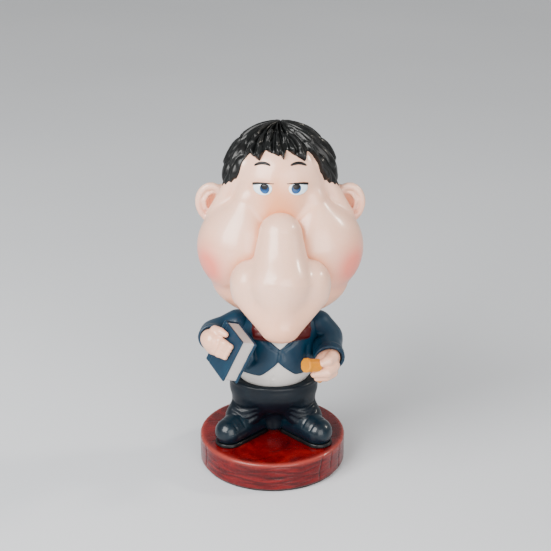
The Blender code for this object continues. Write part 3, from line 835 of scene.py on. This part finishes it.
def make_bow_tie(paints, torso, nose):
    """Two flared wings with pleats, drawn in at a knot below the nose."""
    x, z = CHEST_X + 0.5, 62.0

    def on_chest(out, up, proud, side):
        return on_front(torso, [(x + side * out, z + up)], proud)[0]

    wings = []
    for side in (-1, 1):
        ribs = [limb(on_chest(2.6, start, 1.8, side), on_chest(9.8, end, 0.9, side), 1.3, flare)
                for start, end, flare in ((-1.6, -1.4, 1.7), (-1.0, 0.7, 2.1), (-0.4, 2.8, 1.9))]
        wing = melt(1.0, *ribs)
        pleat = chain([on_chest(2.4, -1.0, 3.5, side), on_chest(6.0, 0.0, 3.7, side),
                       on_chest(9.0, 0.8, 3.4, side)], [0.6, 0.4, 0.1])
        wings.append(carve(0.8, wing, pleat))
    knot = on_chest(0, -0.4, 1.8, 1)
    tie = melt(0.7, *wings, ball(knot, (2.3, 1.7, 2.2)))
    span = vec(14, 6.5, 7)
    middle = vec(x, knot[1] + 2, z)
    cast("bow_tie_satin", tie, middle - span, middle + span, 0.36, paints["wine"],
         "wine_paint", "bow_tie", near=[torso, nose])


# What the hands hold -----------------------------------------------------------------------------

BOOK_CORNER = (-11.4, -28.6, 65.6)
BOOK_WIDE = (0.455, -0.865, -0.224)
BOOK_TALL = (0.417, 0.0, 0.909)
BOOK_SIZE = (15.4, 18.6, 7.2)              # width, height, thickness
COVER = 1.0


def book_frame():
    """Axes along the book's width, height and thickness, from its front cover's top corner."""
    wide = Vector(BOOK_WIDE).normalized()
    tall = Vector(BOOK_TALL)
    tall = (tall - wide * tall.dot(wide)).normalized()
    turn = Matrix((wide, tall, -wide.cross(tall))).transposed().to_4x4()
    return Matrix.Translation(BOOK_CORNER) @ turn


def in_book(turn, wide, tall, thick):
    return vec(*(turn @ Vector((wide, tall, thick))))


def book_fields(turn):
    width, height, thickness = BOOK_SIZE
    inverse = np.array(turn.inverted(), dtype=np.float32)
    front = box(turn, (-width, -height, 0), (0, 0, COVER), 0.4)
    back = box(turn, (-width, -height, thickness - COVER), (0.5, 0, thickness), 0.4)
    pages = box(turn, (-width + 1.0, -height + 0.6, COVER - 0.2),
                (-0.15, -0.2, thickness - COVER + 0.2), 0.15)

    def leaves(points):
        local = points @ inverse[:3, :3].T + inverse[:3, 3]
        stack = local[..., 2] + 0.10 * np.sin(local[..., 1] * 0.9)
        return 0.10 * np.abs(np.sin(stack * 3.6)) + 0.05 * np.abs(np.sin(stack * 9.1 + 1))
    spine = box(turn, (-width - 0.4, -height, 0), (-width + 1.0, 0, thickness), 0.7)
    hinge = [limb(in_book(turn, -width + 2.2, -height, depth), in_book(turn, -width + 2.2, 0, depth),
                  0.35) for depth in (0, thickness)]
    return carve(0.4, melt(0.4, front, spine), hinge[0]), ripple(pages, leaves), \
        carve(0.4, back, hinge[1])


def make_book(paints, fields, hand):
    turn = book_frame()
    corners = np.array([in_book(turn, w, t, d) for w in (-17, 1) for t in (-19, 1) for d in (-1, 8)])
    low, high = corners.min(axis=0) - 1, corners.max(axis=0) + 1
    front, pages, back = fields
    cast("book_front", front, low, high, 0.42, paints["navy"], "navy_paint", "book_front_cover",
         near=[pages, hand])
    cast("book_leaves", pages, low, high, 0.36, paints["page"], "white_paint", "book_pages",
         near=[front, back])
    cast("book_back", back, low, high, 0.42, paints["navy"], "navy_paint", "book_back_cover",
         near=[pages])


def right_hand_field():
    """Palm on the front cover, fingers together and pointing forwards, thumb on top."""
    turn = book_frame()

    def at(wide, tall, out):
        return in_book(turn, wide, tall, -out)

    fingers = [limb(at(-12.0, -7.0 - 1.75 * row, 1.7), at(-3.5 - 0.1 * row, -4.9 - 1.65 * row, 1.1),
                    1.65, 1.15) for row in range(4)]
    knuckles = [ball(at(-7.6, -5.9 - 1.7 * row, 1.9), 1.25) for row in range(4)]
    thumb = chain([at(-15.0, -5.0, 2.6), at(-12.0, -3.6, 2.0), at(-9.2, -3.0, 1.3)], [1.9, 1.6, 1.1])
    palm = ball(at(-13.4, -9.1, 2.4), (4.1, 4.2, 4.6))
    wrist = limb(at(-15.5, -9.2, 2.8), arm_points("right")[2] + vec(0.8, 0.5, -0.2), 3.5, 3.4)
    hand = melt(0.45, *fingers)
    hand = melt(1.4, melt(0.8, hand, *knuckles), palm, wrist)
    return melt(0.8, hand, thumb)


GAVEL = (15.5, -27.0, 55.0)
GAVEL_AXIS = (-0.78, -0.55, 0.28)


def prism(middle, axis, low, high, radius, sides=8, rounding=0.35):
    """A many-sided barrel along the axis, with softened edges."""
    middle, axis = vec(*middle), vec(*axis) / np.linalg.norm(axis)
    across = np.cross(axis, vec(0, 0, 1))
    across /= np.linalg.norm(across)
    up = np.cross(across, axis)
    walls = [slab(axis, axis @ middle + high), slab(-axis, -axis @ middle - low)]
    for index in range(sides):
        t = math.tau * (index + 0.5) / sides
        normal = across * math.cos(t) + up * math.sin(t)
        walls.append(slab(normal, normal @ middle + radius))
    return keep(rounding, *walls)


def gavel_fields():
    """Head, end band and handle."""
    middle, axis = vec(*GAVEL), vec(*GAVEL_AXIS) / np.linalg.norm(GAVEL_AXIS)
    start, end = middle + vec(0.6, 1.2, -1.5), middle + vec(3.2, 4.6, -8.6)
    handle = melt(0.3, limb(start, end, 0.85, 0.8), ball(end, 1.15))
    return prism(middle, axis, -3.1, 2.2, 2.55), prism(middle, axis, 2.1, 3.4, 2.8), handle


def left_hand_field():
    """A fist round the handle: wrapped fingers, the thumb laid over the top."""
    palm = ball((21.2, -20.8, 52.4), (4.6, 5.2, 5.0))
    wrist = limb((21.6, -19.0, 52.4), arm_points("left")[2], 4.4, 4.4)
    index = chain([(24.0, -22.6, 52.8), (21.4, -26.0, 51.6), (16.4, -26.9, 51.2)], [2.5, 2.2, 1.5])
    middle = chain([(23.6, -22.4, 49.8), (21.0, -25.2, 49.3), (17.6, -25.8, 48.9)], [2.2, 1.9, 1.3])
    little = chain([(22.6, -21.0, 48.2), (20.0, -23.4, 47.9), (18.2, -23.6, 47.7)], [1.9, 1.5, 1.1])
    thumb = chain([(23.4, -21.8, 56.0), (21.8, -25.0, 56.0), (19.4, -26.2, 55.4)], [2.5, 2.1, 1.5])
    fist = melt(1.5, palm, wrist)
    for finger in (thumb, index, middle, little):
        fist = melt(0.7, fist, finger)
    return fist


def make_hands(paints, hands, covers):
    for label, hand in hands.items():
        wrist = arm_points(label)[2]
        middle = vec(21.0, -21.5, 52.5) if label == "left" else vec(-21.0, -19.0, 60.0)
        low, high = np.minimum(middle - 9.5, wrist - 5), np.maximum(middle + 9.5, wrist + 5)
        trimmed = keep(0.4, hand, union(ball(middle, 11.5), ball(wrist, 6)))
        piece = cast("hand_skin_" + label, trimmed, low, high, 0.36, paints["skin"], "skin_paint",
                     "hand_" + label, near=covers[label])
        points = points_of(piece)
        attribute(piece, "blush", 0 * points[:, 0])
        attribute(piece, "shade", 0.22 + 0.25 * np.clip((middle[2] - 1 - points[:, 2]) / 6, 0, 1))


def make_gavel(paints, fields, hand):
    names = ("gavel_block", "gavel_end_band", "gavel_stem")
    nodes = ("gavel_head", "gavel_band", "gavel_handle")
    middle = vec(*GAVEL)
    for name, node, field in zip(names, nodes, fields):
        cast(name, field, middle - (6, 6, 11), middle + (7, 8, 6), 0.3, paints["yellow"],
             "yellow_paint", node, near=[hand])


# Plinth ------------------------------------------------------------------------------------------

def make_plinth(paints):
    """A disc with softened edges; wavy carved grain, plank cracks and chisel lines on top."""
    top, bottom, radius = DISC_HIGH[2], DISC_LOW[2], DISC_RADIUS
    columns = 380
    turn = np.linspace(-180, 180, columns, endpoint=False)
    profile = [(radius * share, top) for share in np.linspace(0.02, 0.955, 38)]
    profile += [(radius - 1.2 + math.sin(t) * 1.2, top - 1.2 + math.cos(t) * 1.2)
                for t in np.linspace(0.1, math.pi / 2, 8)]
    profile += [(radius, z) for z in np.linspace(top - 1.4, bottom + 0.9, 34)]
    profile += [(radius - 0.6 + math.cos(t) * 0.6, bottom + 0.6 - math.sin(t) * 0.6)
                for t in np.linspace(0.2, math.pi / 2, 5)]
    profile += [(radius * share, bottom) for share in (0.8, 0.4)]
    verts, grooves, edges = [], [], []
    for r, z in profile:
        side = np.clip((r - radius + 1.0) / 0.8, 0, 1) * np.clip((top - z) / 1.2, 0, 1)
        wall = side * wall_grooves(turn, (z - bottom) / (top - bottom))
        flat = (z > top - 0.3) * top_grooves(r * np.sin(np.radians(turn)),
                                             -r * np.cos(np.radians(turn)), radius)
        reach = r - 0.32 * wall
        verts.append(np.stack([reach * np.sin(np.radians(turn)), -reach * np.cos(np.radians(turn)),
                               z - 0.16 * flat], -1))
        grooves.append(np.clip(wall + 0.8 * flat, 0, 1))
        # Painted highlight mask: the edge value peaks along the rounding of the top rim.
        edges.append(np.full(columns, math.exp(-((r - radius + 0.5) ** 2 + (z - top + 0.5) ** 2))))
    sheet = np.concatenate([[(0, 0, top)], *verts, [(0, 0, bottom)]])
    faces = closed_faces(len(verts), columns)
    plinth = finish_piece("plinth", sheet, [face[::-1] for face in faces], paints["plinth"],
                          "plinth_paint", "base_disc")
    attribute(plinth, "groove", np.concatenate([[0], *grooves, [0]]))
    attribute(plinth, "edge", np.concatenate([[0], *edges, [0]]))


def wall_grooves(turn, height):
    """Depth, 0 to 1, of the side's carving: wavy strokes along the front, upright cracks beyond."""
    depth = np.zeros_like(turn)
    waves = ((-34, 30, 0.82, 0.060, 9.0, 0.6), (-22, 40, 0.66, 0.075, 7.0, 2.0),
             (-40, 14, 0.50, 0.055, 8.0, 3.7), (-10, 46, 0.42, 0.070, 6.0, 0.2),
             (-48, 20, 0.30, 0.045, 7.5, 5.1), (-18, 36, 0.20, 0.050, 8.5, 1.3),
             (120, 176, 0.66, 0.06, 8.0, 0.4), (96, 150, 0.36, 0.05, 7.0, 1.9),
             (-170, -110, 0.70, 0.06, 8.0, 0.9), (-150, -92, 0.40, 0.05, 6.5, 2.7))
    for start, end, level, swing, pace, phase in waves:
        window = np.clip((turn - start) / 6, 0, 1) * np.clip((end - turn) / 6, 0, 1)
        line = level + swing * np.sin(np.radians(turn) * pace + phase)
        depth = np.maximum(depth, 0.55 * window * np.exp(-((height - line) / 0.030) ** 2))
    for place, low in ((-64, 0.1), (-84, 0.3), (41, 0.05), (53, 0.25), (66, 0.0), (88, 0.35),
                       (-106, 0.1), (164, 0.0), (-132, 0.2)):
        bend = place + 1.2 * math.sin(5 * height + place)
        reach = np.clip((height - low) / 0.1, 0, 1)
        depth = np.maximum(depth, reach * np.exp(-((turn - bend) / 0.55) ** 2))
    return depth


def top_grooves(x, y, radius):
    """Depth, 0 to 1, of the shallow chisel lines across the top."""
    depth = np.zeros_like(x)
    for offset, slope, bend, start, end in ((-23, 0.10, 2.0, -20, 4), (-19, 0.16, 1.4, -2, 24),
                                            (-13, -0.06, 1.8, -27, -12), (-6, 0.05, 1.5, -29, -20),
                                            (-9, 0.12, 1.2, 16, 28), (4, -0.1, 1.2, -28, -19),
                                            (3, 0.08, 1.6, 19, 29), (20, 0.05, 1.6, -18, 12)):
        window = np.clip((x - start) / 2, 0, 1) * np.clip((end - x) / 2, 0, 1)
        line = offset + slope * x + bend * np.sin(x * 0.22)
        depth = np.maximum(depth, 0.7 * window * np.exp(-((y - line) / 0.30) ** 2))
    return depth * (np.hypot(x, y) < radius - 1.5)


def make_pad(paint):
    """A thin foot pad with a rolled edge and a fine moulded rim."""
    radius, top = (PAD_HIGH[0] - PAD_LOW[0]) / 2, PAD_HIGH[2]
    columns = 240
    turn = np.linspace(0, math.tau, columns, endpoint=False)
    profile = [(radius * share, top) for share in (0.5, 0.96)]
    profile += [(radius - 0.25 + 0.25 * math.sin(t), top - 0.25 + 0.25 * math.cos(t))
                for t in np.linspace(0, math.pi / 2, 5)]
    profile += [(radius, 0.2), (radius - 0.06, 0.08), (radius - 0.2, 0.0), (radius - 1.2, 0.0),
                (radius - 1.4, 0.12), (radius - 1.8, 0.12), (radius - 2.0, 0.0), (radius * 0.5, 0.0)]
    verts = [np.stack([r * np.sin(turn), -r * np.cos(turn), np.full(columns, z)], -1)
             for r, z in profile]
    sheet = np.concatenate([[(0, 0, top)], *verts, [(0, 0, 0)]])
    faces = closed_faces(len(verts), columns)
    finish_piece("foot_pad", sheet, [face[::-1] for face in faces], paint, "pad_rubber", "base_pad")


# Stage -------------------------------------------------------------------------------------------

def make_stage():
    bpy.ops.mesh.primitive_plane_add(size=8, location=(0, 0, 0))
    floor = bpy.context.object
    floor.name = "floor"
    paint = Paint("floor_paint", roughness=0.5, coat=0)
    paint.colour(paint.ramp(paint.noise(3, 2), [(0.3, (0.54, 0.56, 0.59)), (0.7, (0.58, 0.60, 0.63))]))
    floor.data.materials.append(paint.material)
    world = bpy.data.worlds.new("studio")
    bpy.context.scene.world = world
    world.use_nodes = True
    background = world.node_tree.nodes["Background"]
    background.inputs["Color"].default_value = (0.88, 0.89, 0.90, 1)
    background.inputs["Strength"].default_value = 0.60
    for name, place, size, power, colour in (
            ("window", (-0.45, -0.50, 0.55), 0.55, 16.0, (1.0, 0.99, 0.97)),
            ("front_fill", (0.30, -0.90, 0.35), 0.7, 9.5, (1.0, 0.98, 0.95))):
        data = bpy.data.lights.new(name, "AREA")
        data.size, data.energy, data.color = size, power, colour
        add_lamp(name, data, place)
    sun = bpy.data.lights.new("sun", "SUN")
    sun.energy, sun.angle, sun.color = 1.3, math.radians(8), (1.0, 0.92, 0.80)
    add_lamp("sun", sun, (0.8, 0.10, 0.60))


def add_lamp(name, data, place):
    lamp = bpy.data.objects.new(name, data)
    lamp.location = place
    aim = Vector((0, 0, 0.08)) - lamp.location
    lamp.rotation_euler = aim.to_track_quat("-Z", "Y").to_euler()
    bpy.context.scene.collection.objects.link(lamp)


def make_camera():
    data = bpy.data.cameras.new("camera")
    data.lens = 84.3
    camera = bpy.data.objects.new("camera", data)
    camera.location = (0.00135, -0.477, 0.272)
    camera.rotation_euler = (math.radians(90 - 21.76), 0, 0)
    bpy.context.scene.collection.objects.link(camera)
    bpy.context.scene.camera = camera


def make_paints():
    return {
        "skin": skin_paint(),
        "hair": hair_paint(),
        "iris": iris_paint(),
        "plinth": plinth_paint(),
        "navy": brushed_paint("navy_paint", (0.004, 0.048, 0.100), (0.002, 0.028, 0.062),
                              (0.010, 0.075, 0.138), roughness=0.38, coat=0.12, specular=0.25),
        "trousers": brushed_paint("trouser_paint", (0.001, 0.008, 0.017), (0.001, 0.004, 0.009),
                                  (0.002, 0.017, 0.030), roughness=0.38, coat=0.08, specular=0.2),
        "shoe": brushed_paint("shoe_paint", (0.001, 0.014, 0.027), (0.001, 0.007, 0.014),
                              (0.003, 0.029, 0.048), roughness=0.30, coat=0.20, specular=0.25),
        "white": brushed_paint("white_paint", (0.94, 0.91, 0.87), (0.84, 0.79, 0.75),
                               (0.96, 0.94, 0.91), roughness=0.30, coat=0.4),
        "page": brushed_paint("page_paint", (0.88, 0.86, 0.84), (0.80, 0.72, 0.71),
                              (0.93, 0.92, 0.90), roughness=0.35),
        "wine": brushed_paint("wine_paint", (0.120, 0.004, 0.005), (0.065, 0.002, 0.003),
                              (0.155, 0.012, 0.012), roughness=0.42, coat=0.06, specular=0.2),
        "yellow": brushed_paint("yellow_paint", (1.0, 0.40, 0.0), (0.95, 0.29, 0.0),
                                (1.0, 0.50, 0.0), roughness=0.40, coat=0.08, specular=0.2),
        "eye_white": brushed_paint("eye_white_paint", (0.68, 0.78, 0.84), (0.50, 0.66, 0.78),
                                   (0.84, 0.88, 0.90), roughness=0.15),
        "ink": brushed_paint("ink_paint", (0.004, 0.004, 0.005), (0.002, 0.002, 0.003),
                             (0.010, 0.010, 0.012), roughness=0.36, coat=0.1, specular=0.25),
        "rubber": brushed_paint("rubber_paint", (0.015, 0.014, 0.014), (0.008, 0.008, 0.008),
                                (0.030, 0.028, 0.028), roughness=0.75, coat=0.0),
    }


def main():
    paints = make_paints()
    head, nose, torso = head_field(), nose_field(), torso_field()
    make_head(paints["skin"], head, nose)
    for side, label in ((1, "left"), (-1, "right")):
        make_ear(paints["skin"], head, side, label)
    make_eyes(head, paints)
    make_hair(paints["hair"], head)
    sleeves = {label: sleeve_field(label) for label in ("left", "right")}
    hands = {"left": left_hand_field(), "right": right_hand_field()}
    book = book_fields(book_frame())
    gavel = gavel_fields()
    make_torso(paints, torso, [*sleeves.values(), book[2]])
    make_bow_tie(paints, torso, nose)
    make_sleeves(paints, torso)
    make_hands(paints, hands, {"left": [sleeves["left"], *gavel], "right": [sleeves["right"], book[0]]})
    make_book(paints, book, hands["right"])
    make_gavel(paints, gavel, hands["left"])
    make_legs(paints)
    make_plinth(paints)
    make_pad(paints["rubber"])
    make_stage()
    make_camera()


main()
